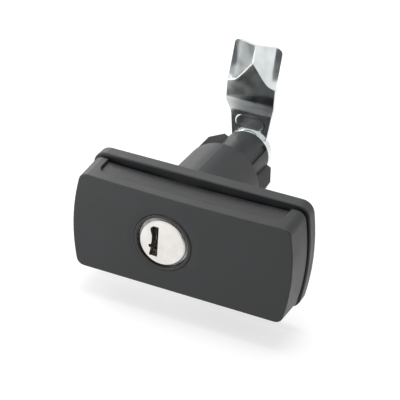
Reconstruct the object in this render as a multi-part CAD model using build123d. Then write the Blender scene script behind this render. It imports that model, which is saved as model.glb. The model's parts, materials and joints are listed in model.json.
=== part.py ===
from build123d import *
import math
import os

# Handle lock with a push-to-lock key barrel. Millimetres.
# The origin is on the lock axis at the flange's back face, which lies against the door.
# X runs along the handle, Y runs backwards through the door, Z is up.

# Outline shared by the handle grip and the flange: a rounded rectangle with bowed ends
plate_width = 75.8
plate_height = 34.0
plate_bow = 2.1
plate_corner = 2.8
plate_offset = 6.0

# Handle grip
grip_depth = 11.8
grip_flare_x = 0.4
grip_flare_z = 0.7
grip_edge = 0.4
scoop_length = 63.2
scoop_depth = 0.55
lip_depth = 3.9
lip_edge = 0.35
recess_depth = 0.95
recess_corner = 3.5
dish_margin = 2.6
dish_depth = 0.35

# Flange and housing, one moulding
running_gap = 1.2
flange_thickness = 4.8
flange_overhang_x = 1.0
flange_overhang_z = 1.85
flange_corner = 4.4
flange_edge = 0.5
spigot_wall = 1.65
spigot_length = 4.0
housing_taper = 0.35
housing_length = 30.0
hub_radius = 8.6
hub_length = 22.0
wing_angles = (155.0, -25.0)
wing_radius = 13.4
wing_tip_radius = 10.2
wing_shoulder = 14.3
wing_thickness = 3.0
hub_slot_angle = 33.0
hub_slot_width = 2.2
hub_slot_depth = 0.9

# Screw fixings in the flange
insert_inset_x = 7.9
insert_inset_z = 6.0
insert_radius = 2.8
insert_bore = 1.65
insert_length = 4.0

# Rubber seal in the flange's back face
seal_inset = 1.4
seal_width = 2.2
seal_depth = 1.8

# Spindle
bearing_gap = 0.05
collar_wall = 1.4
collar_length = 9.4
cup_wall = 1.55
cup_floor = 4.8
cup_front_wall = 4.5
journal_radius = 5.5
square_side = 8.0
drive_width = 42.0
drive_height = 20.0
drive_thickness = 2.0
drive_corner = 4.0

# Small hardware on the spindle
grip_screw_x = 17.0
grip_screw_z = 6.0
grip_screw_radius = 1.25
grip_screw_head = 2.4
grip_screw_length = 7.0
washer_width = 3.0
o_ring_thickness = 1.7
detent_ball_radius = 1.45
detent_hole_depth = 7.0
detent_wire = 0.22
quarter_turns = (0, 90, 180, 270)

# Cam, its stop washer and its screw
stop_washer_thickness = 1.5
stop_tab_angle = -75.0
stop_tab_half = 10.0
stop_tab_depth = 2.4
cam_thickness = 2.3
cam_foot_radius = 8.3
cam_neck_half = 6.4
cam_neck_height = 5.5
cam_lower_half = 7.6
cam_bend_low = 14.8
cam_bend_high = 19.8
cam_offset = 2.5
cam_upper_half = 8.9
cam_height = 41.2
cam_corner = 2.5
cam_bend_radius = 1.0
ramp_rise = 5.8
ramp_drop = 13.5
ramp_setback = 1.5
rib_length = 10.3
rib_height = 5.2
rib_centre = 11.4
rib_proud = 0.2
rib_line = 0.7
spring_washer_thickness = 1.4
spring_washer_width = 2.6
spring_washer_split = 0.8
cam_screw_radius = 3.0
cam_screw_length = 12.0
cam_screw_across_flats = 10.0
cam_screw_head = 4.0

# Key barrel, which is the push button
press_stroke = 4.0
face_proud = 0.2
barrel_radius = 9.4
barrel_length = 21.25
nose_step = 0.8
bezel_gap = 0.15
bezel_wall = 1.25
bezel_flange = 0.9
bezel_flange_thickness = 1.0
cap_inset = 0.65
cap_thickness = 1.4
cap_bevel = 0.35
plug_inset = 2.2
plug_length = 17.7
keyway_left = -4.25
keyway_right = -1.4
keyway_half = 5.4
keyway_depth = 13.3
locking_pin_radius = 1.5
locking_pin_short = 0.2
locking_pin_inset = 2.4
notch_gap = 0.15
return_inset = 1.8
return_wire = 0.6
return_turns = 5
plug_pin_radius = 0.8
plug_pin_reach = 0.7
plug_pin_inset = 2.6
plug_pin_play = 9.0

# Snap bolt behind the plug, moved by an eccentric on the plug's tail
bolt_lift = 1.2
eccentric_radius = 1.5
bolt_thickness = 1.9
bolt_left = -4.2
bolt_right = 2.8
bolt_top = 4.5
bolt_shoulder = -5.0
bolt_proud = 0.6
bolt_tip_half = 2.0
bolt_spring_radius = 0.7
bolt_spring_wire = 0.17
bolt_spring_cover = 1.1

# Wafer tumblers
wafer_count = 6
wafer_pitch = 1.9
wafer_first = 1.9
wafer_thickness = 1.0
wafer_left = -5.4
wafer_right = -0.4
wafer_half = 6.4
wafer_lug = 1.3
wafer_lug_height = 1.9
wafer_window_edge = 0.7
wafer_spring_wire = 0.1

# Places along the lock axis, worked out from the sizes above
flange_front = -flange_thickness
grip_back = flange_front - running_gap
grip_front = grip_back - grip_depth
bezel_front = grip_front - face_proud
cup_front = grip_front + cup_front_wall
drive_front = grip_back - drive_thickness
collar_end = grip_back + collar_length
hub_end = housing_length + hub_length
nose_front = bezel_front + cap_thickness + bearing_gap
plug_front = bezel_front + cap_thickness
plug_back = plug_front + plug_length
barrel_front = cup_front + bearing_gap
barrel_back = barrel_front + barrel_length
chamber_front = plug_back + 2 * bearing_gap
chamber_back = chamber_front + bolt_thickness + 2 * bearing_gap
pin_y = barrel_back - locking_pin_inset
notch_front = pin_y + locking_pin_radius + 2 * notch_gap
notch_back = pin_y + locking_pin_radius + press_stroke + 2 * notch_gap
spring_length = 14.0
cup_bottom = barrel_back + spring_length
cup_back = cup_bottom + cup_floor
detent_y = cup_bottom + cup_floor / 2
washer_front = hub_end + bearing_gap
cam_front = washer_front + stop_washer_thickness
cam_back = cam_front + cam_thickness
screw_seat = cam_back + spring_washer_thickness

# A bar or cone that starts at its base instead of being centred
seated = (Align.CENTER, Align.CENTER, Align.MIN)

# Sizes that follow from their partners
insert_spacing_x = plate_width - 2 * insert_inset_x
insert_spacing_z = plate_height - 2 * insert_inset_z
nose_radius = barrel_radius - nose_step
bezel_bore = nose_radius + bezel_gap
bezel_radius = bezel_bore + bezel_wall
dish_radius = bezel_radius + dish_margin
cap_radius = nose_radius - cap_inset
plug_radius = barrel_radius - plug_inset
plug_pin_end = plug_radius - plug_pin_reach
return_coil_radius = barrel_radius - return_inset
bolt_tip = -barrel_radius - bolt_proud
bolt_spring_top = barrel_radius - bolt_spring_cover
cup_bore = barrel_radius + bearing_gap
cup_radius = cup_bore + cup_wall
collar_radius = cup_radius + collar_wall
locking_pin_half = collar_radius - locking_pin_short
body_bore = collar_radius + bearing_gap
spigot_radius = body_bore + spigot_wall
housing_rim_radius = spigot_radius - housing_taper
ramp_apex = cam_height - ramp_rise
ramp_side = cam_height - ramp_drop
scoop_radius = (scoop_length**2 / 4 + scoop_depth**2) / (2 * scoop_depth)
cup_guide = cup_radius + bearing_gap
journal_bore = journal_radius + bearing_gap
plug_bore = plug_radius + bearing_gap
square_hole = square_side + 2 * bearing_gap
eccentric_offset = bolt_lift / 2


def prism(sketch, start, end):
    """A sketch drawn in X and Z, carried along Y from start to end."""
    return extrude(Plane.XZ.offset(-start) * sketch, amount=-(end - start))


def disc(radius, start, end, x=0.0, z=0.0):
    """A round bar along Y."""
    return prism(Pos(x, z) * Circle(radius), start, end)


def ring(outer, inner, start, end):
    """A round sleeve along Y."""
    return prism(Circle(outer) - Circle(inner), start, end)


def block(x_from, x_to, y_from, y_to, z_from, z_to):
    """A box given by its limits."""
    centre = Pos((x_from + x_to) / 2, (y_from + y_to) / 2, (z_from + z_to) / 2)
    return centre * Box(x_to - x_from, y_to - y_from, z_to - z_from)


def tapered(radius_from, radius_to, start, end):
    """A cone along Y."""
    base = Plane(origin=(0, start, 0), z_dir=(0, 1, 0))
    return base * Cone(radius_from, radius_to, end - start, align=seated)


def sector(inner, outer, angle_from, angle_to, start, end):
    """Part of a ring between two angles, counted from X towards Z."""
    reach = 3 * outer
    angles = [math.radians(angle_from + (angle_to - angle_from) * step / 4) for step in range(5)]
    fan = [(0, 0)] + [(reach * math.cos(angle), reach * math.sin(angle)) for angle in angles]
    wedge = make_face(Polyline(*fan, close=True))
    return prism((Circle(outer) - Circle(inner)) & wedge, start, end)


def turned(shape, angle):
    """A shape built along X, turned about the lock axis from X towards Z."""
    return Rot(0, -angle, 0) * shape


def plate(growth_x, growth_z, corner):
    """The shared outline, grown on every side."""
    half_width = plate_width / 2 + growth_x
    half_height = plate_height / 2 + growth_z
    edge = half_width - plate_bow
    outline = [
        Line((-edge, half_height), (edge, half_height)),
        ThreePointArc((edge, half_height), (half_width, 0), (edge, -half_height)),
        Line((edge, -half_height), (-edge, -half_height)),
        ThreePointArc((-edge, -half_height), (-half_width, 0), (-edge, half_height)),
    ]
    face = make_face(outline)
    return Pos(plate_offset, 0) * fillet(face.vertices(), corner)


def edges_at(part, y_value, smallest_radius):
    """Edges that lie in one plane across Y and outside a circle about the lock axis."""
    flat = part.edges().filter_by_position(Axis.Y, y_value - 0.001, y_value + 0.001)
    return flat.filter_by(lambda edge: math.hypot(edge.center().X, edge.center().Z) > smallest_radius)


def coil(radius, wire, length, turns):
    """A round-wire spring along Z, from 0 to length."""
    height = length - 2 * wire
    path = Helix(pitch=height / turns, height=height, radius=radius)
    section = Plane(origin=path @ 0, z_dir=path % 0) * Circle(wire)
    return Pos(0, 0, wire) * sweep(section, path=path)


def keyway():
    """The key slot, left of the axis: straight on the right and waisted on the left."""
    narrow = keyway_left + 0.6
    outline = Polyline(
        (keyway_right, keyway_half),
        (keyway_left + 0.9, keyway_half),
        (keyway_left, keyway_half - 1.0),
        (keyway_left, keyway_half - 1.7),
        (narrow, keyway_half - 3.6),
        (narrow, 0.2),
        (keyway_left + 0.35, -keyway_half + 2.4),
        (keyway_left, -keyway_half + 0.6),
        (keyway_left, -keyway_half),
        (keyway_right, -keyway_half),
        close=True,
    )
    thumb = Pos(keyway_left + 0.25, -2.0) * Circle(0.65)
    return make_face(outline) + thumb


def make_lock_body():
    """Flange, round housing, hub and wings in one moulding, bored for the spindle."""
    flange = prism(plate(flange_overhang_x, flange_overhang_z, flange_corner), flange_front, 0)
    flange = fillet(edges_at(flange, flange_front, 0) + edges_at(flange, 0, 0), flange_edge)
    spigot = disc(spigot_radius, 0, spigot_length)
    housing = tapered(spigot_radius, housing_rim_radius, spigot_length, housing_length)
    hub = disc(hub_radius, housing_length, hub_end)
    body = flange + spigot + housing + hub
    profile = [
        (journal_radius + 1, housing_length - 1),
        (wing_radius, housing_length - 1),
        (wing_radius, housing_length + wing_shoulder),
        (wing_tip_radius, hub_end),
        (journal_radius + 1, hub_end),
    ]
    blade = extrude(make_face(Polyline(*profile, close=True)), amount=wing_thickness / 2, both=True)
    for angle in wing_angles:
        body += turned(blade, angle)
    slot = block(
        hub_radius - hub_slot_depth, hub_radius + 1,
        housing_length, hub_end + 1,
        -hub_slot_width / 2, hub_slot_width / 2,
    )
    body -= turned(slot, hub_slot_angle)
    body -= disc(body_bore, flange_front - 1, notch_front)
    body -= disc(cup_guide, notch_front - 1, cup_back + bearing_gap)
    body -= disc(journal_bore, cup_back, hub_end + 1)
    notch = block(
        journal_radius, body_bore,
        notch_front - 1, notch_back,
        -locking_pin_radius - notch_gap, locking_pin_radius + notch_gap,
    )
    dimple = Pos(cup_guide - detent_ball_radius + 0.1, detent_y, 0) * Sphere(detent_ball_radius + 0.35)
    for angle in quarter_turns:
        body -= turned(notch, angle)
        body -= turned(dimple, angle)
    body -= sector(
        hub_radius - 1.75, hub_radius + 1,
        stop_tab_angle - 90 - stop_tab_half - 1.5, stop_tab_angle + stop_tab_half + 1.5,
        hub_end - stop_tab_depth - 0.2, hub_end + 1,
    )
    body -= seal_ring(0.0)
    for place in insert_places():
        body -= place * disc(insert_radius, -insert_length, 1)
    return body


def insert_places():
    """The four screw fixings, on a rectangle about the middle of the flange."""
    half_x = insert_spacing_x / 2
    half_z = insert_spacing_z / 2
    return [Pos(plate_offset + x, 0, z) for x in (-half_x, half_x) for z in (-half_z, half_z)]


def seal_ring(slack):
    """The seal's ring, or with no slack the groove that holds it."""
    outline = [
        plate(flange_overhang_x - inset, flange_overhang_z - inset, flange_corner - inset)
        for inset in (seal_inset + slack, seal_inset + seal_width - slack)
    ]
    return prism(outline[0] - outline[1], -seal_depth, 0.0)


def make_mounting_inserts():
    """Four threaded brass inserts, plain bored, for screws through the door."""
    sleeve = ring(insert_radius, insert_bore, -insert_length, 0)
    groove = ring(insert_radius + 1, insert_radius - 0.3, -insert_length * 0.6, -insert_length * 0.4)
    return [place * (sleeve - groove) for place in insert_places()]


def make_grip():
    """The handle block, with a finger recess along its top and a dish for the thumb."""
    front = Plane.XZ.offset(-grip_front) * plate(0, 0, plate_corner)
    back = Plane.XZ.offset(-grip_back) * plate(grip_flare_x, grip_flare_z, plate_corner + grip_flare_x)
    body = loft([front, back], ruled=True) - scoop(0)
    body = fillet(edges_at(body, grip_front, 0), grip_edge)
    lip_back = grip_front + lip_depth
    hollow = block(
        plate_offset - scoop_length / 2, plate_offset + scoop_length / 2,
        lip_back, grip_back + 1,
        plate_height / 4, plate_height,
    )
    corners = hollow.edges().filter_by(Axis.Z).group_by(Axis.Y)[0]
    body -= fillet(corners, recess_corner) & scoop(recess_depth)
    rim = body.edges().filter_by_position(Axis.Y, lip_back - 0.01, lip_back + 0.01).sort_by(Axis.Z)[-1]
    body = fillet(rim, lip_edge)
    sphere_radius = (dish_radius**2 + dish_depth**2) / (2 * dish_depth)
    body -= Pos(0, grip_front + dish_depth - sphere_radius, 0) * Sphere(sphere_radius)
    body -= disc(bezel_radius + 2 * bearing_gap, grip_front - 1, cup_front)
    body -= disc(bezel_radius + bezel_flange + bearing_gap, cup_front - bezel_flange_thickness, cup_front)
    body -= disc(cup_radius + bearing_gap, cup_front, grip_back + 1)
    pocket = RectangleRounded(drive_width + 2 * bearing_gap, drive_height + 2 * bearing_gap, drive_corner)
    body -= prism(pocket, drive_front, grip_back + 1)
    for place in grip_screw_places():
        body -= place * disc(grip_screw_radius, drive_front - grip_screw_length, grip_back)
    return body


def scoop(sink):
    """A very large bar that hollows the grip's top lengthwise, sunk below the lip's level."""
    level = plate_height / 2 - scoop_depth
    slope = (0, grip_depth, grip_flare_z)
    base = Plane(origin=(plate_offset, grip_front, level), x_dir=(1, 0, 0), z_dir=slope)
    return base * Pos(0, -scoop_radius, 0) * Cylinder(scoop_radius + sink, 3 * grip_depth)


def grip_screw_places():
    """Four screws through the drive plate into the grip."""
    return [Pos(x, 0, z) for x in (-grip_screw_x, grip_screw_x) for z in (-grip_screw_z, grip_screw_z)]


def make_bezel():
    """Black ring with a rounded rim around the key barrel, trapped by its back flange."""
    wall = ring(bezel_radius, bezel_bore, bezel_front, cup_front)
    wall = fillet(wall.edges().filter_by_position(Axis.Y, bezel_front - 0.01, bezel_front + 0.01), 0.45)
    foot = ring(bezel_radius + bezel_flange, bezel_bore, cup_front - bezel_flange_thickness, cup_front)
    return wall + foot


def make_spindle():
    """Drive plate, cup for the key barrel, collar, journal and square, in cast zinc."""
    plate_sketch = RectangleRounded(drive_width, drive_height, drive_corner)
    body = prism(plate_sketch, drive_front, grip_back)
    body += disc(collar_radius, grip_back, collar_end)
    body += disc(cup_radius, cup_front, cup_back)
    body += disc(journal_radius, cup_back, hub_end)
    body += prism(Rectangle(square_side, square_side), hub_end, cam_back - 0.2)
    body -= disc(cup_bore, cup_front - 1, cup_bottom)
    half_width = locking_pin_radius + bearing_gap
    body -= block(
        -cup_radius - 1, cup_radius + 1,
        pin_y - locking_pin_radius - notch_gap, notch_back,
        -half_width, half_width,
    )
    tip_half = bolt_tip_half + bearing_gap
    body -= block(
        -tip_half, tip_half,
        chamber_front - notch_gap, chamber_back + press_stroke,
        bolt_tip - 0.1, 0,
    )
    body -= block(
        -tip_half, tip_half,
        chamber_front + press_stroke - notch_gap, chamber_back + press_stroke + notch_gap,
        bolt_tip - 0.4, 0,
    )
    body -= seal_groove()
    body -= detent_hole()
    body -= disc(cam_screw_radius, screw_seat - cam_screw_length - 1, cam_back + 1)
    for place in grip_screw_places():
        body -= place * disc(grip_screw_radius + 0.1, drive_front - 1, grip_back + 1)
        body -= place * tapered(grip_screw_radius, grip_screw_head + 0.1, grip_back - 1.4, grip_back)
    return body


def seal_groove():
    """Groove for the O-ring, in the middle of the collar."""
    middle = (flange_front + collar_end) / 2
    half = o_ring_thickness / 2 + 0.1
    return ring(collar_radius + 1, collar_radius - o_ring_thickness, middle - half, middle + half)


def detent_hole():
    """Radial hole for the detent ball, at the top of the spindle."""
    start = cup_radius - detent_hole_depth
    hole = Cylinder(detent_ball_radius + bearing_gap, detent_hole_depth + 1, align=seated)
    return Pos(0, detent_y, start) * hole


def make_grip_screws():
    """Four countersunk screws that hold the grip on the drive plate."""
    shank = disc(grip_screw_radius, drive_front - grip_screw_length + 1, grip_back - 0.5)
    head = tapered(grip_screw_radius, grip_screw_head, grip_back - 1.4, grip_back - 0.1)
    slot = block(-3, 3, grip_back - 0.7, grip_back, -0.3, 0.3)
    screw = shank + head - slot
    return [place * screw for place in grip_screw_places()]


def make_glide_washer():
    """Plastic washer that fills the running gap around the collar."""
    inner = collar_radius + bearing_gap
    return ring(inner + washer_width, inner, grip_back, flange_front - bearing_gap)


def make_spindle_seal():
    """O-ring in the collar's groove."""
    middle = (flange_front + collar_end) / 2
    wire = o_ring_thickness / 2 - bearing_gap / 2
    torus = Torus(collar_radius - o_ring_thickness + wire, wire)
    return Plane(origin=(0, middle, 0), z_dir=(0, 1, 0)) * torus


def make_detent_ball():
    """Steel ball that clicks into the housing's dimples at each quarter turn."""
    return Pos(0, detent_y, cup_radius - detent_ball_radius) * Sphere(detent_ball_radius)


def make_detent_spring():
    """Spring behind the detent ball."""
    start = cup_radius - detent_hole_depth
    length = detent_hole_depth - 2 * detent_ball_radius - 0.02
    return Pos(0, detent_y, start) * coil(detent_ball_radius - 0.4, detent_wire, length, 5)


def make_stop_washer():
    """Square-holed washer whose tab runs in the hub's notch and ends the quarter turn."""
    sketch = Circle(hub_radius) - Rectangle(square_hole, square_hole)
    washer = prism(sketch, washer_front, cam_front)
    tab = sector(
        hub_radius - 1.6, hub_radius,
        stop_tab_angle - stop_tab_half, stop_tab_angle + stop_tab_half,
        hub_end - stop_tab_depth, washer_front,
    )
    return washer + tab


def cam_outline():
    """The cam seen from the front: round foot, narrow neck and wide blade."""
    side = [
        (cam_neck_half, 0),
        (cam_neck_half, cam_neck_height),
        (cam_lower_half, cam_bend_low),
        (cam_upper_half, cam_bend_high),
        (cam_upper_half, cam_height),
    ]
    other = [(-x, z) for x, z in reversed(side)]
    blade = make_face(Polyline(*side, *other, close=True))
    top = blade.vertices().group_by(Axis.Y)[-1]
    return fillet(top, cam_corner) + Circle(cam_foot_radius)


def make_cam():
    """Cranked cam of sheet steel, its tip bent back on two creases into lead-in ramps."""
    outline = cam_outline()
    raised = cam_front - cam_offset
    join = (cam_bend_high + ramp_side) / 2
    bend = math.atan2(cam_offset, cam_bend_high - cam_bend_low)
    shift = cam_thickness * math.tan(bend / 2)
    near = cam_bend_radius
    far = cam_bend_radius + cam_thickness
    foot = -cam_foot_radius - 1
    front_side = FilletPolyline(
        (cam_front, foot), (cam_front, cam_bend_low), (raised, cam_bend_high), (raised, join),
        radius=(near, far),
    )
    back_side = FilletPolyline(
        (cam_front + cam_thickness, foot), (cam_front + cam_thickness, cam_bend_low + shift),
        (raised + cam_thickness, cam_bend_high + shift), (raised + cam_thickness, join),
        radius=(far, near),
    )
    ends = [Line(front_side @ 0, back_side @ 0), Line(front_side @ 1, back_side @ 1)]
    section = make_face([front_side, back_side] + ends)
    width = cam_upper_half + 1
    lower = extrude(Plane.YZ * section, amount=width, both=True)
    lower &= prism(outline, raised - 1, cam_back + 1)
    climb = ramp_setback / (cam_height - ramp_apex)
    lean = climb * (ramp_apex - ramp_side) / cam_upper_half
    above = Pos(0, join + cam_height / 2) * Rectangle(2 * width, cam_height)
    blade = prism(outline & above, raised, raised + cam_height)
    for side in (-1, 1):
        face = Plane(origin=(0, raised, ramp_apex), z_dir=(-lean * side, 1, -climb))
        blade = split(blade, bisect_by=face, keep=Keep.TOP)
    blade -= Pos(0, cam_thickness, 0) * blade
    cam = lower + blade
    cam -= prism(Rectangle(square_hole, square_hole), cam_front - 1, cam_back + 1)
    rib = Pos(0, rib_centre) * SlotOverall(rib_length, rib_height)
    rib -= Pos(0, rib_centre) * SlotOverall(rib_length - 2 * rib_line, rib_height - 2 * rib_line)
    return cam + prism(rib, cam_front - rib_proud, cam_front + 0.5)


def make_spring_washer():
    """Split washer under the cam screw's head."""
    bore = cam_screw_radius + 3 * bearing_gap
    washer = ring(cam_screw_radius + spring_washer_width, bore, cam_back, screw_seat)
    half = spring_washer_split / 2
    return washer - block(0, cam_screw_across_flats, cam_back - 1, screw_seat + 1, -half, half)


def make_cam_screw():
    """Hexagon screw in the end of the spindle."""
    top = screw_seat + cam_screw_head
    hexagon = RegularPolygon(cam_screw_across_flats / 2, 6, major_radius=False)
    dome = tapered(cam_screw_across_flats * 0.62, cam_screw_across_flats * 0.46, screw_seat, top)
    shank = disc(cam_screw_radius - 0.02, screw_seat - cam_screw_length, screw_seat)
    return (prism(hexagon, screw_seat, top) & dome) + shank


def make_button_barrel():
    """Sliding housing of the key plug: nose, body, bolt chamber and cross hole."""
    body = disc(nose_radius, nose_front, barrel_front)
    body += disc(barrel_radius, barrel_front, barrel_back)
    body -= disc(plug_bore, nose_front - 1, chamber_front)
    body -= block(
        bolt_left - bearing_gap, bolt_right + bearing_gap,
        chamber_front - 0.01, chamber_back,
        bolt_shoulder - bearing_gap, bolt_top + bolt_lift + 0.1,
    )
    tip_half = bolt_tip_half + bearing_gap
    body -= block(-tip_half, tip_half, chamber_front, chamber_back, -barrel_radius - 1, 0)
    middle = (chamber_front + chamber_back) / 2
    well = Cylinder(bolt_spring_radius + 0.25, bolt_spring_top, align=seated)
    body -= Pos(0, middle, 0) * well
    body -= Pos(0, pin_y, 0) * Rot(0, 90, 0) * Cylinder(locking_pin_radius, 3 * barrel_radius)
    body -= plug_pin_shape(barrel_radius + 1)
    return body


def plug_pin_shape(end):
    """Radial pin from the plug's groove outwards along X."""
    pin = Cylinder(plug_pin_radius, end - plug_pin_end, align=seated)
    return Pos(plug_pin_end, plug_back - plug_pin_inset, 0) * Rot(0, 90, 0) * pin


def make_locking_pin():
    """Cross pin through the barrel's back, with both ends in the housing."""
    pin = Rot(0, 90, 0) * Cylinder(locking_pin_radius, 2 * locking_pin_half)
    return Pos(0, pin_y, 0) * chamfer(pin.edges(), 0.3)


def make_return_spring():
    """Spring between the barrel and the bottom of the spindle's cup."""
    spring = coil(return_coil_radius, return_wire, spring_length, return_turns)
    return Plane(origin=(0, barrel_back, 0), z_dir=(0, 1, 0)) * spring


def make_face_cap():
    """Bright disc on the plug's face, with a fine bevel and the key slot."""
    cap = disc(cap_radius, bezel_front, plug_front)
    cap = chamfer(cap.edges().filter_by_position(Axis.Y, bezel_front - 0.01, bezel_front + 0.01), cap_bevel)
    return cap - prism(keyway(), bezel_front - 1, plug_front + 1)


def make_key_plug():
    """Turning plug with its keyway, wafer slots, stop groove and eccentric tail."""
    body = disc(plug_radius, plug_front, plug_back)
    body -= prism(keyway(), plug_front - 1, plug_front + keyway_depth)
    gap = bearing_gap
    for y in wafer_rows():
        body -= block(
            wafer_left - gap, wafer_right + gap,
            y - gap, y + wafer_thickness + gap,
            -barrel_radius, barrel_radius,
        )
        body -= block(
            wafer_right, wafer_right + wafer_lug + gap,
            y - gap, y + wafer_thickness + gap,
            -3.2, 2.7,
        )
    half = plug_pin_radius + gap
    middle = plug_back - plug_pin_inset
    body -= sector(
        plug_pin_end - 0.1, plug_radius + 1,
        -plug_pin_play, 90 + plug_pin_play,
        middle - half, middle + half,
    )
    tail = disc(eccentric_radius, plug_back, chamber_back - 2 * gap, -eccentric_offset, -eccentric_offset)
    return body + tail


def wafer_rows():
    """Front face of each wafer along the plug."""
    return [plug_front + wafer_first + row * wafer_pitch for row in range(wafer_count)]


def make_wafers():
    """Wafer tumblers around the keyway, each cut for a key of another depth."""
    wafers = []
    for row, y in enumerate(wafer_rows()):
        middle = (wafer_left + wafer_right) / 2
        plate_sketch = Pos(middle, 0) * Rectangle(wafer_right - wafer_left, 2 * wafer_half)
        plate_sketch &= Circle(plug_radius - 0.1)
        rise = 0.3 * (row % 3 - 1)
        window = Pos((keyway_left + keyway_right) / 2, rise) * Rectangle(
            keyway_right - keyway_left + 0.3, 2 * (keyway_half - wafer_window_edge)
        )
        lug = Pos(wafer_right + wafer_lug / 2, wafer_lug_height) * Rectangle(wafer_lug, 1.0)
        wafers.append(prism(plate_sketch - window + lug, y, y + wafer_thickness))
    return wafers


def make_wafer_springs():
    """One small spring under the lug of each wafer."""
    low = -3.2
    top = 1.4
    spring = coil(0.36, wafer_spring_wire, top - low, 5)
    middle = wafer_right + wafer_lug / 2 + 0.02
    return [Pos(middle, y + wafer_thickness / 2, low) * spring for y in wafer_rows()]


def make_plug_pin():
    """Pin that holds the plug in the barrel and ends its quarter turn."""
    return plug_pin_shape(barrel_radius - 0.1)


def make_snap_bolt():
    """Sprung bolt behind the plug, lifted by the plug's eccentric."""
    low = chamber_front + bearing_gap
    high = low + bolt_thickness
    frame = block(bolt_left, bolt_right, low, high, bolt_shoulder, bolt_top)
    tip = block(-bolt_tip_half, bolt_tip_half, low, high, bolt_tip, bolt_shoulder)
    sweep_side = math.hypot(eccentric_offset, eccentric_offset)
    window = block(
        -sweep_side - eccentric_radius - 0.1, -eccentric_offset + eccentric_radius + 0.1,
        low - 1, high + 1,
        -eccentric_offset - eccentric_radius - 0.08, -eccentric_offset + eccentric_radius + 0.08,
    )
    return frame + tip - window


def make_snap_bolt_spring():
    """Spring that pushes the snap bolt out of the barrel."""
    middle = (chamber_front + chamber_back) / 2
    length = bolt_spring_top - bolt_top
    return Pos(0, middle, bolt_top) * coil(bolt_spring_radius, bolt_spring_wire, length, 6)


nodes = {
    "lock_body": make_lock_body(),
    "panel_seal": seal_ring(bearing_gap),
    "mounting_inserts": make_mounting_inserts(),
    "grip": make_grip(),
    "bezel": make_bezel(),
    "spindle": make_spindle(),
    "grip_screws": make_grip_screws(),
    "glide_washer": make_glide_washer(),
    "spindle_seal": make_spindle_seal(),
    "detent_ball": make_detent_ball(),
    "detent_spring": make_detent_spring(),
    "stop_washer": make_stop_washer(),
    "cam": make_cam(),
    "spring_washer": make_spring_washer(),
    "cam_screw": make_cam_screw(),
    "button_barrel": make_button_barrel(),
    "locking_pin": make_locking_pin(),
    "return_spring": make_return_spring(),
    "plug_pin": make_plug_pin(),
    "face_cap": make_face_cap(),
    "key_plug": make_key_plug(),
    "wafers": make_wafers(),
    "wafer_springs": make_wafer_springs(),
    "snap_bolt": make_snap_bolt(),
    "snap_bolt_spring": make_snap_bolt_spring(),
}

os.makedirs("parts", exist_ok=True)
for name, shape in nodes.items():
    piece = Compound(children=shape) if isinstance(shape, list) else shape
    export_step(piece, os.path.join("parts", name + ".step"))
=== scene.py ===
"""Looks, camera and light for a pushbutton handle lock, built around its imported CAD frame.

Sizes in the classes are millimetres in the CAD frame: X along the handle, Y backwards through the door, Z up.
"""

import json
import logging
import math
from dataclasses import dataclass
from enum import Enum

import bmesh
import bpy
from mathutils import Euler, Matrix, Vector


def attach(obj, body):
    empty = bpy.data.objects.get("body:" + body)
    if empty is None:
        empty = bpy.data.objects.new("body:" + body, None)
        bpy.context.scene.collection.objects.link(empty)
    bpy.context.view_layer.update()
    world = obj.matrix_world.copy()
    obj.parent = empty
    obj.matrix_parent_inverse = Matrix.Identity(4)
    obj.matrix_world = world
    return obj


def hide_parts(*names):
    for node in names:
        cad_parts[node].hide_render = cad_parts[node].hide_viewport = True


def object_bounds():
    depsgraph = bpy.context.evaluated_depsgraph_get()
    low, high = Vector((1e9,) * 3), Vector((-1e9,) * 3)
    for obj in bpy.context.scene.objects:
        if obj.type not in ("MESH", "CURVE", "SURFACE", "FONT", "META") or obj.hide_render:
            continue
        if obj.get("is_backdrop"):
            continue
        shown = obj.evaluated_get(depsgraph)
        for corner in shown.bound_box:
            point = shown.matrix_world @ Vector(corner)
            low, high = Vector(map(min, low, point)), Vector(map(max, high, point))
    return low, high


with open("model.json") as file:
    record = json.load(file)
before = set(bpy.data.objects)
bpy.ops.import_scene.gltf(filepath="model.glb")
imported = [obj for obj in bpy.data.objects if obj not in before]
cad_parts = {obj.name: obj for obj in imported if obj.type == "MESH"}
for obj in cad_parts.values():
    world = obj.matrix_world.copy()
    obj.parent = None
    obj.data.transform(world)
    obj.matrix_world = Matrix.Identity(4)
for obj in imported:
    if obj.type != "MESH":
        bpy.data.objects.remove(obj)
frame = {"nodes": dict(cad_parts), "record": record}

log = logging.getLogger("handle_lock")
MM = 0.001
Colour = tuple[float, float, float]


class Body(Enum):
    """The rigid bodies of the lock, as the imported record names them."""

    LOCK_BODY = "lock_body"
    HANDLE = "handle"
    BUTTON = "button"
    PLUG = "plug"
    SNAP_BOLT = "snap_bolt"


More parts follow.
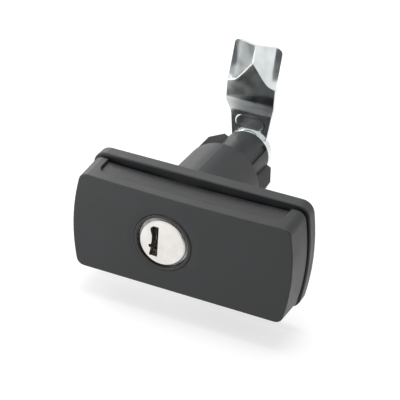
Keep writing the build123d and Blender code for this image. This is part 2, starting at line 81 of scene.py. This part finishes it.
class Paint:
    """A material's node tree, with short calls that add nodes and feed their inputs."""

    def __init__(self, name: str) -> None:
        """Makes a material that holds a shader and an output.

        Args:
            name: The material's name.
        """
        self.material = bpy.data.materials.new(name)
        self.material.use_nodes = True
        self.nodes = self.material.node_tree.nodes
        self.links = self.material.node_tree.links
        self.shader = self.nodes["Principled BSDF"]

    def feed(self, node: bpy.types.Node, **inputs: object) -> None:
        """Sets or links a node's inputs.

        Args:
            node: The node to feed.
            **inputs: Input names, with underscores for spaces, and a value or an output socket for each.
        """
        for key, value in inputs.items():
            socket = node.inputs[key.replace("_", " ")]
            if isinstance(value, bpy.types.NodeSocket):
                self.links.new(value, socket)
            else:
                socket.default_value = value

    def add(self, kind: str, settings: dict[str, object] | None = None, **inputs: object) -> bpy.types.Node:
        """Adds a node.

        Args:
            kind: The node's type.
            settings: Its properties.
            **inputs: Its inputs, as feed takes them.

        Returns:
            The new node.
        """
        node = self.nodes.new(kind)
        for key, value in (settings or {}).items():
            setattr(node, key, value)
        self.feed(node, **inputs)
        return node

    def reckon(self, operation: str, *values: object) -> bpy.types.NodeSocket:
        """Adds a Math node.

        Args:
            operation: What it works out.
            *values: Its inputs in order, numbers or output sockets.

        Returns:
            The result.
        """
        node = self.add("ShaderNodeMath", {"operation": operation})
        for socket, value in zip(node.inputs, values):
            if isinstance(value, bpy.types.NodeSocket):
                self.links.new(value, socket)
            else:
                socket.default_value = value
        return node.outputs[0]

    def place(self, stretch: Colour = (1.0, 1.0, 1.0)) -> bpy.types.NodeSocket:
        """Gives the piece's own coordinates, stretched along the axes.

        Args:
            stretch: Scale along X, Y and Z. Less than one draws a pattern out along that axis.

        Returns:
            The vector output.
        """
        coordinates = self.add("ShaderNodeTexCoord")
        mapping = self.add("ShaderNodeMapping", Vector=coordinates.outputs["Object"], Scale=stretch)
        return mapping.outputs["Vector"]

    def noise(self, grain: float, detail: float = 2.0, stretch: Colour = (1.0, 1.0, 1.0)) -> bpy.types.NodeSocket:
        """Adds noise on the piece's own coordinates.

        Args:
            grain: Size of a grain in millimetres.
            detail: Number of finer layers.
            stretch: As place takes it.

        Returns:
            The noise, from 0 to 1.
        """
        node = self.add("ShaderNodeTexNoise", Vector=self.place(stretch), Scale=1.0 / (grain * MM), Detail=detail)
        return node.outputs["Fac"]

    def span(self, value: bpy.types.NodeSocket, low: float, high: float, middle: float = 0.2) -> bpy.types.NodeSocket:
        """Spreads noise between two numbers.

        Args:
            value: The noise, from 0 to 1.
            low: The least result.
            high: The greatest result.
            middle: Half of the noise's range that is used, about 0.5.

        Returns:
            The result.
        """
        node = self.add(
            "ShaderNodeMapRange", Value=value, From_Min=0.5 - middle, From_Max=0.5 + middle, To_Min=low, To_Max=high
        )
        return node.outputs["Result"]

    def blend(self, share: object, first: Colour, second: Colour) -> bpy.types.NodeSocket:
        """Mixes two colours.

        Args:
            share: Part of the second colour, a number or a socket.
            first: The first colour.
            second: The second colour.

        Returns:
            The mixed colour.
        """
        node = self.add("ShaderNodeMix", {"data_type": "RGBA"}, Factor=share)
        node.inputs[6].default_value = (*first, 1.0)
        node.inputs[7].default_value = (*second, 1.0)
        return node.outputs[2]

    def relief(
        self, height: bpy.types.NodeSocket, depth: float, under: bpy.types.NodeSocket | None = None
    ) -> bpy.types.NodeSocket:
        """Adds a bump.

        Args:
            height: The height, from 0 to 1.
            depth: How deep a height of 1 is, in millimetres.
            under: A normal from an earlier bump.

        Returns:
            The new normal.
        """
        node = self.add("ShaderNodeBump", Height=height, Distance=depth * MM)
        if under is not None:
            self.feed(node, Normal=under)
        return node.outputs["Normal"]


@dataclass(frozen=True)
class MouldedPlastic:
    """Black plastic from an eroded mould: a fine grain with slightly uneven gloss."""

    name: str
    colour: Colour
    roughness: float = 0.42
    grain: float = 0.22
    depth: float = 0.012

    def material(self) -> bpy.types.Material:
        """Makes the material.

        Returns:
            The material.
        """
        paint = Paint(self.name)
        grain = paint.noise(self.grain, 1.5)
        cloud = paint.noise(9.0, 3.0)
        lighter = tuple(1.35 * part for part in self.colour)
        normal = paint.relief(grain, self.depth)
        normal = paint.relief(paint.noise(14.0, 1.0), 0.06, normal)
        paint.feed(
            paint.shader,
            Base_Color=paint.blend(paint.span(cloud, 0.0, 1.0), self.colour, lighter),
            Roughness=paint.span(cloud, self.roughness - 0.04, self.roughness + 0.05),
            Normal=normal,
        )
        return paint.material


@dataclass(frozen=True)
class PlatedSteel:
    """Pressed steel with bright blue zinc: mirror-like, with faint rolling lines, and duller where it is folded."""

    name: str
    colour: Colour
    tint: Colour
    roughness: float = 0.16
    fold_height: float = 18.2
    fold_half: float = 1.8
    fold_fade: float = 1.2
    fold_roughness: float = 0.26

    def material(self) -> bpy.types.Material:
        """Makes the material.

        Returns:
            The material.
        """
        paint = Paint(self.name)
        paint.shader.inputs["Metallic"].default_value = 1.0
        cloud = paint.noise(5.0, 4.0)
        rolling = paint.noise(0.25, 2.0, (1.0, 1.0, 0.06))
        pits = paint.noise(0.5, 3.0)
        normal = paint.relief(rolling, 0.0025)
        normal = paint.relief(pits, 0.004, normal)
        normal = paint.relief(paint.noise(4.5, 1.0), 0.035, normal)
        height = paint.add("ShaderNodeSeparateXYZ", Vector=paint.place()).outputs["Z"]
        off = paint.reckon("ABSOLUTE", paint.reckon("SUBTRACT", height, self.fold_height * MM))
        near, far = self.fold_half * MM, (self.fold_half + self.fold_fade) * MM
        fold = paint.add("ShaderNodeMapRange", Value=off, From_Min=near, From_Max=far, To_Min=1.0, To_Max=0.0)
        shine = paint.span(cloud, self.roughness - 0.05, self.roughness + 0.09)
        paint.feed(
            paint.shader,
            Base_Color=paint.blend(paint.span(cloud, 0.0, 1.0), self.colour, self.tint),
            Roughness=paint.reckon("MULTIPLY_ADD", fold.outputs["Result"], self.fold_roughness, shine),
            Normal=normal,
        )
        return paint.material


@dataclass(frozen=True)
class TurnedMetal:
    """Metal turned about the lock axis, with fine rings and a soft shine."""

    name: str
    colour: Colour
    roughness: float
    ring: float = 0.16
    depth: float = 0.002

    def material(self) -> bpy.types.Material:
        """Makes the material.

        Returns:
            The material.
        """
        paint = Paint(self.name)
        paint.shader.inputs["Metallic"].default_value = 1.0
        flat = paint.place((1.0, 0.0, 1.0))
        radius = paint.add("ShaderNodeVectorMath", {"operation": "LENGTH"}, Vector=flat).outputs["Value"]
        rings = paint.add(
            "ShaderNodeTexNoise", {"noise_dimensions": "1D"}, W=radius, Scale=1.0 / (self.ring * MM), Detail=2.0
        ).outputs["Fac"]
        cloud = paint.noise(3.5, 3.0)
        darker = tuple(0.86 * part for part in self.colour)
        normal = paint.relief(rings, self.depth)
        paint.feed(
            paint.shader,
            Base_Color=paint.blend(paint.span(cloud, 0.0, 1.0), self.colour, darker),
            Roughness=paint.span(cloud, self.roughness - 0.04, self.roughness + 0.06),
            Normal=paint.relief(paint.noise(0.3, 2.0), 0.002, normal),
        )
        return paint.material


@dataclass(frozen=True)
class CastMetal:
    """Die-cast metal: slightly grainy and dull, with darker patches."""

    name: str
    colour: Colour
    roughness: float = 0.45

    def material(self) -> bpy.types.Material:
        """Makes the material.

        Returns:
            The material.
        """
        paint = Paint(self.name)
        paint.shader.inputs["Metallic"].default_value = 1.0
        patches = paint.noise(2.5, 4.0)
        darker = tuple(0.65 * part for part in self.colour)
        paint.feed(
            paint.shader,
            Base_Color=paint.blend(paint.span(patches, 0.0, 1.0), self.colour, darker),
            Roughness=paint.span(patches, self.roughness - 0.08, self.roughness + 0.1),
            Normal=paint.relief(paint.noise(0.35, 3.0), 0.01),
        )
        return paint.material


@dataclass(frozen=True)
class MouldedRubber:
    """Matt black rubber with a dusty bloom."""

    name: str
    colour: Colour

    def material(self) -> bpy.types.Material:
        """Makes the material.

        Returns:
            The material.
        """
        paint = Paint(self.name)
        bloom = paint.noise(2.0, 4.0)
        dusty = tuple(1.8 * part for part in self.colour)
        paint.feed(
            paint.shader,
            Base_Color=paint.blend(paint.span(bloom, 0.0, 1.0), self.colour, dusty),
            Roughness=paint.span(bloom, 0.62, 0.8),
            Normal=paint.relief(paint.noise(0.2, 2.0), 0.01),
        )
        return paint.material


FINISHES = {
    "grip_plastic": MouldedPlastic("grip_plastic", (0.0068, 0.0075, 0.0086)),
    "body_plastic": MouldedPlastic("body_plastic", (0.0085, 0.0092, 0.0103), 0.46),
    "bezel_plastic": MouldedPlastic("bezel_plastic", (0.0075, 0.0075, 0.008), 0.3, 0.15, 0.004),
    "glide_plastic": MouldedPlastic("glide_plastic", (0.55, 0.55, 0.53), 0.5),
    "seal_rubber": MouldedRubber("seal_rubber", (0.018, 0.018, 0.018)),
    "nickel": TurnedMetal("nickel", (0.74, 0.72, 0.69), 0.32),
    "zinc_steel": PlatedSteel("zinc_steel", (0.79, 0.83, 0.84), (0.70, 0.735, 0.735), 0.14),
    "cast_zinc": CastMetal("cast_zinc", (0.48, 0.485, 0.49)),
    "hard_steel": TurnedMetal("hard_steel", (0.56, 0.56, 0.57), 0.25),
    "spring_steel": PlatedSteel("spring_steel", (0.5, 0.5, 0.51), (0.4, 0.4, 0.42), 0.28),
    "brass": TurnedMetal("brass", (0.56, 0.45, 0.27), 0.34),
}


class Wardrobe:
    """Makes each finish once, and puts it on CAD nodes and on new pieces."""

    def __init__(self) -> None:
        """Makes the materials."""
        self.materials = {slot: finish.material() for slot, finish in FINISHES.items()}

    def dress(self, piece: bpy.types.Object, slot: str) -> None:
        """Gives a piece one finish all over.

        Args:
            piece: The piece, new or from the CAD frame.
            slot: The record's material slot.
        """
        if not piece.material_slots:
            piece.data.materials.append(self.materials[slot])
        for place in piece.material_slots:
            place.material = self.materials[slot]

    def dress_frame(self) -> None:
        """Gives every CAD node the finish of its slot."""
        for subpart in frame["record"]["subparts"]:
            self.dress(frame["nodes"][subpart["node"]], subpart["material_slot"])
            log.info("%s wears %s", subpart["node"], subpart["material_slot"])


def keep(mesh: bpy.types.Mesh, name: str, body: Body, slot: str, wardrobe: Wardrobe) -> bpy.types.Object:
    """Links a finished mesh as a piece that rides on a body.

    Args:
        mesh: The mesh, in metres, in the CAD frame.
        name: The piece's name.
        body: The body that it rides on.
        slot: The record's material slot.
        wardrobe: Where its finish comes from.

    Returns:
        The piece.
    """
    piece = bpy.data.objects.new(name, mesh)
    bpy.context.scene.collection.objects.link(piece)
    mesh.name = name
    wardrobe.dress(piece, slot)
    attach(piece, body.value)
    log.info("%s rides on %s with %d faces", name, body.value, len(mesh.polygons))
    return piece


def settle(draft: bpy.types.Object) -> bpy.types.Mesh:
    """Turns an object with modifiers into a plain mesh, and removes the object.

    Args:
        draft: The object.

    Returns:
        Its evaluated mesh.
    """
    graph = bpy.context.evaluated_depsgraph_get()
    mesh = bpy.data.meshes.new_from_object(draft.evaluated_get(graph))
    bpy.data.objects.remove(draft)
    return mesh


@dataclass
class CamPlate:
    """Cranked cam of pressed steel, with soft bends and two lead-in ramps at its tip."""

    front: float = 53.55
    crank: float = 2.5
    thickness: float = 2.3
    bend_low: float = 14.8
    bend_high: float = 19.8
    bend_softness: float = 1.3
    foot_radius: float = 8.3
    neck_half: float = 6.4
    neck_height: float = 5.5
    lower_half: float = 7.6
    upper_half: float = 8.9
    height: float = 41.2
    corner_left: float = 1.8
    corner_right: float = 2.4
    crease_side: float = 27.6
    crease_rise: float = 8.0
    crease_slope: float = 1.38
    crease_bow: float = 1.5
    crease_softness: float = 0.12
    crease_blunt: float = 0.05
    ramp_climb: float = 0.259
    curl_start: float = 6.6
    curl_climb: float = 0.62
    curl_softness: float = 0.9
    curl_reach: float = 0.3
    square: float = 8.1
    rib_half: float = 5.15
    rib_radius: float = 2.35
    rib_centre: float = 11.4
    rib_proud: float = 0.13
    rib_softness: float = 0.3
    edge: float = 0.3
    columns: int = 96
    row_step: float = 0.2
    corner_steps: int = 14

    def half_width(self, z: float, corner: float) -> float:
        """Half of the cam's width at a height, on one side.

        Args:
            z: The height.
            corner: Radius of the corner at the top of this side.

        Returns:
            The distance from the middle to the edge.
        """
        foot = math.sqrt(max(self.foot_radius**2 - z**2, 0.0))
        if z < 0:
            return foot
        corners = [
            (0.0, self.neck_half),
            (self.neck_height, self.neck_half),
            (self.bend_low, self.lower_half),
            (self.bend_high, self.upper_half),
            (self.height, self.upper_half),
        ]
        blade = self.upper_half
        for (low, start), (high, end) in zip(corners, corners[1:]):
            if low <= z <= high:
                blade = start + (end - start) * (z - low) / (high - low)
                break
        over = max(z - (self.height - corner), 0.0)
        blade -= corner - math.sqrt(max(corner**2 - over**2, 0.0))
        return max(foot, blade)

    def rows(self) -> list[float]:
        """Works out the heights of the mesh's rows, closer together in the round foot and the corners.

        Returns:
            The heights, from the foot to the top.
        """
        quarter = [step / self.corner_steps * math.pi / 2 for step in range(self.corner_steps + 1)]
        foot = [-self.foot_radius * math.cos(angle) for angle in quarter]
        corner = [self.height - self.corner_right + self.corner_right * math.sin(angle) for angle in quarter]
        middle = []
        z = foot[-1]
        while z < corner[0] - 2.5 * self.row_step:
            z += self.row_step
            middle.append(z)
        return foot + middle[:-1] + corner

    def depth(self, x: float, z: float) -> float:
        """Works out the cam's front surface: two soft folds, the ramps with their curled strips, and the rib.

        Args:
            x: Distance from the middle.
            z: Height.

        Returns:
            Y of the surface.
        """

        def rise(value: float, softness: float) -> float:
            """Gives 0 below 0 and the value above, with a soft turn."""
            return (value + math.sqrt(value**2 + softness**2)) / 2

        low = rise(z - self.bend_low, self.bend_softness)
        high = rise(z - self.bend_high, self.bend_softness)
        y = self.front - self.crank * (low - high) / (self.bend_high - self.bend_low)
        across = math.sqrt(x**2 + self.crease_blunt)
        crease = self.crease_side + rise(self.crease_rise - self.crease_slope * across, self.crease_bow)
        ramp = rise(self.ramp_climb * (z - crease), self.crease_softness)
        curl = self.curl_climb * rise(across - self.curl_start, self.curl_softness)
        y += ramp + curl * ramp / (ramp + self.curl_reach)
        reach = math.hypot(max(abs(x) - self.rib_half + self.rib_radius, 0.0), z - self.rib_centre)
        off = (reach - self.rib_radius) / self.rib_softness
        return y - self.rib_proud * math.exp(-off * off)

    def front_sheet(self) -> bpy.types.Mesh:
        """Builds the front surface as a grid, facing forwards.

        Returns:
            The mesh.
        """
        shell = bmesh.new()
        grid = []
        for z in self.rows():
            left = -self.half_width(z, self.corner_left)
            right = self.half_width(z, self.corner_right)
            row = []
            for column in range(self.columns + 1):
                x = left + (right - left) * column / self.columns
                row.append(shell.verts.new((x * MM, self.depth(x, z) * MM, z * MM)))
            grid.append(row)
        for lower, upper in zip(grid, grid[1:]):
            for column in range(self.columns):
                shell.faces.new((lower[column], lower[column + 1], upper[column + 1], upper[column]))
        bmesh.ops.remove_doubles(shell, verts=shell.verts, dist=1e-6)
        bmesh.ops.recalc_face_normals(shell, faces=shell.faces)
        if sum(face.normal.y for face in shell.faces) > 0:
            bmesh.ops.reverse_faces(shell, faces=shell.faces)
        mesh = bpy.data.meshes.new("cam_draft")
        shell.to_mesh(mesh)
        shell.free()
        return mesh

    def build(self, wardrobe: Wardrobe) -> None:
        """Builds the cam and puts it in place of the plain one.

        Args:
            wardrobe: Where its finish comes from.
        """
        draft = bpy.data.objects.new("cam_draft", self.front_sheet())
        bpy.context.scene.collection.objects.link(draft)
        wall = draft.modifiers.new("wall", "SOLIDIFY")
        wall.thickness = self.thickness * MM
        wall.offset = -1.0
        cutter = self.square_cutter()
        hole = draft.modifiers.new("square", "BOOLEAN")
        hole.object = cutter
        hole.solver = "EXACT"
        rim = draft.modifiers.new("rim", "BEVEL")
        rim.width = self.edge * MM
        rim.segments = 3
        rim.limit_method = "ANGLE"
        rim.angle_limit = math.radians(50)
        mesh = settle(draft)
        bpy.data.objects.remove(cutter)
        mesh.shade_smooth()
        mesh.set_sharp_from_angle(angle=math.radians(35))
        piece = keep(mesh, "cam_plate", Body.HANDLE, "zinc_steel", wardrobe)
        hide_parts("cam")

    def square_cutter(self) -> bpy.types.Object:
        """Makes a square bar through the foot, to cut the hole with.

        Returns:
            The bar.
        """
        bar = bmesh.new()
        bmesh.ops.create_cube(bar, size=1.0)
        size = Vector((self.square, 4 * self.thickness, self.square)) * MM
        bmesh.ops.transform(bar, matrix=Matrix.Diagonal((*size, 1.0)), verts=bar.verts)
        bmesh.ops.translate(bar, vec=Vector((0, self.front * MM, 0)), verts=bar.verts)
        mesh = bpy.data.meshes.new("square_cutter")
        bar.to_mesh(mesh)
        bar.free()
        cutter = bpy.data.objects.new("square_cutter", mesh)
        bpy.context.scene.collection.objects.link(cutter)
        return cutter


@dataclass
class ThreadedInserts:
    """Four brass inserts in the flange, each with a cut thread in its bore."""

    centre_x: float = 6.0
    spacing_x: float = 60.0
    spacing_z: float = 22.0
    outer: float = 2.8
    root: float = 2.0
    length: float = 4.0
    pitch: float = 0.7
    sleeve_steps: int = 48
    thread_steps: int = 28

    def tree(self, material: bpy.types.Material) -> bpy.types.GeometryNodeTree:
        """Builds the node tree: a sleeve and a spiral ridge, set on the corners of a rectangle.

        Args:
            material: The finish, set at the end of the tree.

        Returns:
            The node tree, with its sizes as named inputs.
        """
        tree = bpy.data.node_groups.new("threaded_inserts", "GeometryNodeTree")
        sizes = {
            "Root radius": self.root,
            "Outer radius": self.outer,
            "Length": self.length,
            "Pitch": self.pitch,
            "Spacing X": self.spacing_x,
            "Spacing Z": self.spacing_z,
        }
        for name, size in sizes.items():
            socket = tree.interface.new_socket(name, in_out="INPUT", socket_type="NodeSocketFloat")
            socket.default_value = size * MM
        tree.interface.new_socket("Geometry", in_out="OUTPUT", socket_type="NodeSocketGeometry")
        given = tree.nodes.new("NodeGroupInput").outputs
        result = tree.nodes.new("NodeGroupOutput")

        def math_node(operation: str, first: object, second: object) -> bpy.types.NodeSocket:
            """Adds a Math node on two numbers or sockets, and gives its result."""
            node = tree.nodes.new("ShaderNodeMath")
            node.operation = operation
            for place, value in zip(node.inputs, (first, second)):
                if isinstance(value, bpy.types.NodeSocket):
                    tree.links.new(value, place)
                else:
                    place.default_value = value
            return node.outputs[0]

        def geometry(kind: str, settings: dict[str, object], **inputs: object) -> bpy.types.Node:
            """Adds a node with its settings, and sets or links its inputs."""
            node = tree.nodes.new(kind)
            for key, value in settings.items():
                setattr(node, key, value)
            for key, value in inputs.items():
                place = node.inputs[key.replace("_", " ")]
                if isinstance(value, bpy.types.NodeSocket):
                    tree.links.new(value, place)
                else:
                    place.default_value = value
            return node

        wall = math_node("SUBTRACT", given["Outer radius"], given["Root radius"])
        mean = math_node("MULTIPLY", math_node("ADD", given["Outer radius"], given["Root radius"]), 0.5)
        circle = geometry(
            "GeometryNodeCurvePrimitiveCircle", {"mode": "RADIUS"}, Resolution=self.sleeve_steps, Radius=mean
        )
        section = geometry(
            "GeometryNodeCurvePrimitiveQuadrilateral", {"mode": "RECTANGLE"}, Width=wall, Height=given["Length"]
        )
        sleeve = geometry(
            "GeometryNodeCurveToMesh", {}, Curve=circle.outputs["Curve"], Profile_Curve=section.outputs["Curve"]
        )
        ridge = math_node("MULTIPLY", given["Pitch"], 0.5)
        travel = math_node("SUBTRACT", given["Length"], given["Pitch"])
        turns = math_node("DIVIDE", travel, given["Pitch"])
        spiral = geometry(
            "GeometryNodeCurveSpiral", {}, Resolution=self.thread_steps, Rotations=turns,
            Start_Radius=given["Root radius"], End_Radius=given["Root radius"], Height=travel,
        )
        triangle = geometry("GeometryNodeCurvePrimitiveCircle", {"mode": "RADIUS"}, Resolution=3, Radius=ridge)
        thread = geometry(
            "GeometryNodeCurveToMesh", {}, Curve=spiral.outputs["Curve"], Profile_Curve=triangle.outputs["Curve"],
            Fill_Caps=True,
        )
        drop = geometry("ShaderNodeCombineXYZ", {}, Z=math_node("MULTIPLY", travel, -0.5))
        lowered = geometry(
            "GeometryNodeTransform", {}, Geometry=thread.outputs["Mesh"], Translation=drop.outputs["Vector"]
        )
        insert = tree.nodes.new("GeometryNodeJoinGeometry")
        tree.links.new(sleeve.outputs["Mesh"], insert.inputs[0])
        tree.links.new(lowered.outputs["Geometry"], insert.inputs[0])
        corners = geometry(
            "GeometryNodeMeshGrid", {}, Size_X=given["Spacing X"], Size_Y=given["Spacing Z"],
            Vertices_X=2, Vertices_Y=2,
        )
        spread = geometry(
            "GeometryNodeInstanceOnPoints", {}, Points=corners.outputs["Mesh"], Instance=insert.outputs["Geometry"]
        )
        turned = geometry("GeometryNodeTransform", {}, Geometry=spread.outputs["Instances"])
        turned.inputs["Rotation"].default_value = Euler((math.radians(90), 0, 0))
        turned.inputs["Translation"].default_value = (self.centre_x * MM, -self.length / 2 * MM, 0)
        real = geometry("GeometryNodeRealizeInstances", {}, Geometry=turned.outputs["Geometry"])
        dressed = geometry("GeometryNodeSetMaterial", {}, Geometry=real.outputs["Geometry"], Material=material)
        tree.links.new(dressed.outputs["Geometry"], result.inputs[0])
        return tree

    def build(self, wardrobe: Wardrobe) -> None:
        """Builds the inserts and puts them in place of the plain ones.

        Args:
            wardrobe: Where their finish comes from.
        """
        draft = bpy.data.objects.new("inserts_draft", bpy.data.meshes.new("inserts_draft"))
        bpy.context.scene.collection.objects.link(draft)
        modifier = draft.modifiers.new("inserts", "NODES")
        modifier.node_group = self.tree(wardrobe.materials["brass"])
        mesh = settle(draft)
        mesh.shade_smooth()
        mesh.set_sharp_from_angle(angle=math.radians(40))
        piece = keep(mesh, "threaded_inserts", Body.LOCK_BODY, "brass", wardrobe)
        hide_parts("mounting_inserts")


@dataclass
class Studio:
    """White floor and surroundings, soft lamps, dark cards for the cam to mirror, and the photo's camera."""

    floor_height: float = -28.0
    floor_size: float = 6000.0
    azimuth: float = 21.7965
    elevation: float = 29.7135
    roll: float = 4.1722
    distance: float = 506.25
    aim_x: float = -1.3285
    aim_y: float = 15.0
    aim_z: float = -0.9592
    focal_pixels: float = 1512.1
    frame_pixels: float = 400.0
    sensor: float = 36.0
    flag_top: float = 90.0
    flag_radius: float = 250.0
    flag_steps: int = 12

    def direct_view(self, nodes: bpy.types.Nodes, links: bpy.types.NodeLinks) -> bpy.types.NodeSocket:
        """Adds Light Path, and gives 1 for rays of the camera, of reflections and of transmission.

        Args:
            nodes: The node tree's nodes.
            links: Its links.

        Returns:
            The output socket.
        """
        path = nodes.new("ShaderNodeLightPath")
        total = path.outputs["Is Camera Ray"]
        for other in ("Is Glossy Ray", "Is Transmission Ray"):
            most = nodes.new("ShaderNodeMath")
            most.operation = "MAXIMUM"
            links.new(total, most.inputs[0])
            links.new(path.outputs[other], most.inputs[1])
            total = most.outputs[0]
        return total

    def world(self, fill: float = 0.45) -> None:
        """Makes the surroundings: white where they are seen, softer as a light.

        Args:
            fill: Strength as a light.
        """
        world = bpy.data.worlds.new("studio_world")
        bpy.context.scene.world = world
        world.use_nodes = True
        nodes, links = world.node_tree.nodes, world.node_tree.links
        background = nodes["Background"]
        background.inputs["Color"].default_value = (1.0, 1.0, 1.0, 1.0)
        strength = nodes.new("ShaderNodeMapRange")
        strength.inputs["To Min"].default_value = fill
        strength.inputs["To Max"].default_value = 1.0
        links.new(self.direct_view(nodes, links), strength.inputs["Value"])
        links.new(strength.outputs["Result"], background.inputs["Strength"])

    def floor(self, lift: float = 0.61) -> None:
        """Lays the white floor, which keeps the lock's shadow.

        Args:
            lift: Light that the floor adds where it is seen, so that it is white outside the shadow.
        """
        half = self.floor_size / 2 * MM
        z = self.floor_height * MM
        mesh = bpy.data.meshes.new("studio_floor")
        rim = [(-half, -half, z), (half, -half, z), (half, half, z), (-half, half, z)]
        mesh.from_pydata(rim, [], [(0, 1, 2, 3)])
        floor = bpy.data.objects.new("studio_floor", mesh)
        bpy.context.scene.collection.objects.link(floor)
        paint = Paint("studio_floor")
        paint.feed(paint.shader, Base_Color=(0.5, 0.5, 0.5, 1.0), Roughness=1.0, Specular_IOR_Level=0.0)
        paint.feed(paint.shader, Emission_Color=(1.0, 1.0, 1.0, 1.0))
        seen = self.direct_view(paint.nodes, paint.links)
        paint.feed(paint.shader, Emission_Strength=paint.reckon("MULTIPLY", seen, lift))
        mesh.materials.append(paint.material)
        floor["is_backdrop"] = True

    def flag(self, name: str, start: float, end: float) -> None:
        """Stands a curved dark card on the floor, which only reflections show; it glows faintly grey, a painted dark
        reflection for the cam.

        Args:
            name: The card's name.
            start: Where it starts, in degrees from the front towards the right.
            end: Where it ends, in degrees from the front towards the right.
        """
        points = []
        for step in range(self.flag_steps + 1):
            angle = math.radians(start + (end - start) * step / self.flag_steps)
            x, y = self.flag_radius * math.sin(angle), -self.flag_radius * math.cos(angle)
            points += [Vector((x, y, z)) * MM for z in (self.floor_height, self.flag_top)]
        mesh = bpy.data.meshes.new(name)
        mesh.from_pydata(points, [], [(k, k + 1, k + 3, k + 2) for k in range(0, 2 * self.flag_steps, 2)])
        card = bpy.data.objects.new(name, mesh)
        bpy.context.scene.collection.objects.link(card)
        paint = Paint(name)
        paint.feed(paint.shader, Base_Color=(0.0, 0.0, 0.0, 1.0), Roughness=1.0, Specular_IOR_Level=0.0)
        # Painted reflection: the black card glows faintly grey, so that the cam mirrors it as a dark grey.
        paint.feed(paint.shader, Emission_Color=(0.11, 0.116, 0.12, 1.0), Emission_Strength=1.0)
        mesh.materials.append(paint.material)
        card.visible_camera = False
        card.visible_diffuse = False
        card.visible_shadow = False
        card.visible_transmission = False
        card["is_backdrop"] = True

    def lamp(self, name: str, place: Colour, size: float, power: float) -> None:
        """Adds a square area lamp that faces the lock.

        Args:
            name: The lamp's name.
            place: Where it stands, in metres.
            size: Its side, in metres.
            power: Its power, in watts.
        """
        light = bpy.data.lights.new(name, "AREA")
        light.size = size
        light.energy = power
        lamp = bpy.data.objects.new(name, light)
        lamp.location = place
        lamp.rotation_euler = (-Vector(place)).to_track_quat("-Z", "Y").to_euler()
        bpy.context.scene.collection.objects.link(lamp)

    def camera(self) -> None:
        """Sets up the camera, worked out from the outlines in the photo."""
        azimuth, elevation, roll = (math.radians(angle) for angle in (self.azimuth, self.elevation, self.roll))
        back = Vector((
            math.sin(azimuth) * math.cos(elevation), -math.cos(azimuth) * math.cos(elevation), math.sin(elevation)
        ))
        level = Vector((math.cos(azimuth), math.sin(azimuth), 0.0))
        up = back.cross(level)
        right = level * math.cos(roll) + up * math.sin(roll)
        above = up * math.cos(roll) - level * math.sin(roll)
        data = bpy.data.cameras.new("photo_camera")
        data.sensor_width = self.sensor
        data.lens = self.focal_pixels * self.sensor / self.frame_pixels
        data.clip_start = 0.01
        data.clip_end = 20.0
        camera = bpy.data.objects.new("photo_camera", data)
        aim = Vector((self.aim_x, self.aim_y, self.aim_z))
        turn = Matrix((right, above, back)).transposed().to_4x4()
        camera.matrix_world = Matrix.Translation((aim + back * self.distance) * MM) @ turn
        bpy.context.scene.collection.objects.link(camera)
        bpy.context.scene.camera = camera

    def build(self) -> None:
        """Sets up the whole studio."""
        self.world()
        self.floor()
        self.flag("left_flag", -95.0, -37.0)
        self.flag("right_flag", 30.0, 66.0)
        self.lamp("key_lamp", (-0.02, 0.02, 0.95), 0.5, 4.4)
        self.lamp("near_lamp", (-0.21, -0.18, 0.0), 0.16, 0.75)
        self.lamp("back_lamp", (-0.36, 0.36, 0.28), 0.3, 0.85)
        self.camera()
        bpy.context.scene.view_settings.view_transform = "Standard"


def main() -> None:
    """Dresses the frame, adds the pieces, and sets up the studio."""
    logging.basicConfig(level=logging.INFO, format="%(message)s")
    wardrobe = Wardrobe()
    wardrobe.dress_frame()
    CamPlate().build(wardrobe)
    ThreadedInserts().build(wardrobe)
    Studio().build()


def corners() -> list[list[float]]:
    """The shown object's box as plain lists of numbers."""
    return [[round(value, 6) for value in corner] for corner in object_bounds()]


if __name__ == "__main__":
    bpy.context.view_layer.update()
    main()
    bpy.context.view_layer.update()
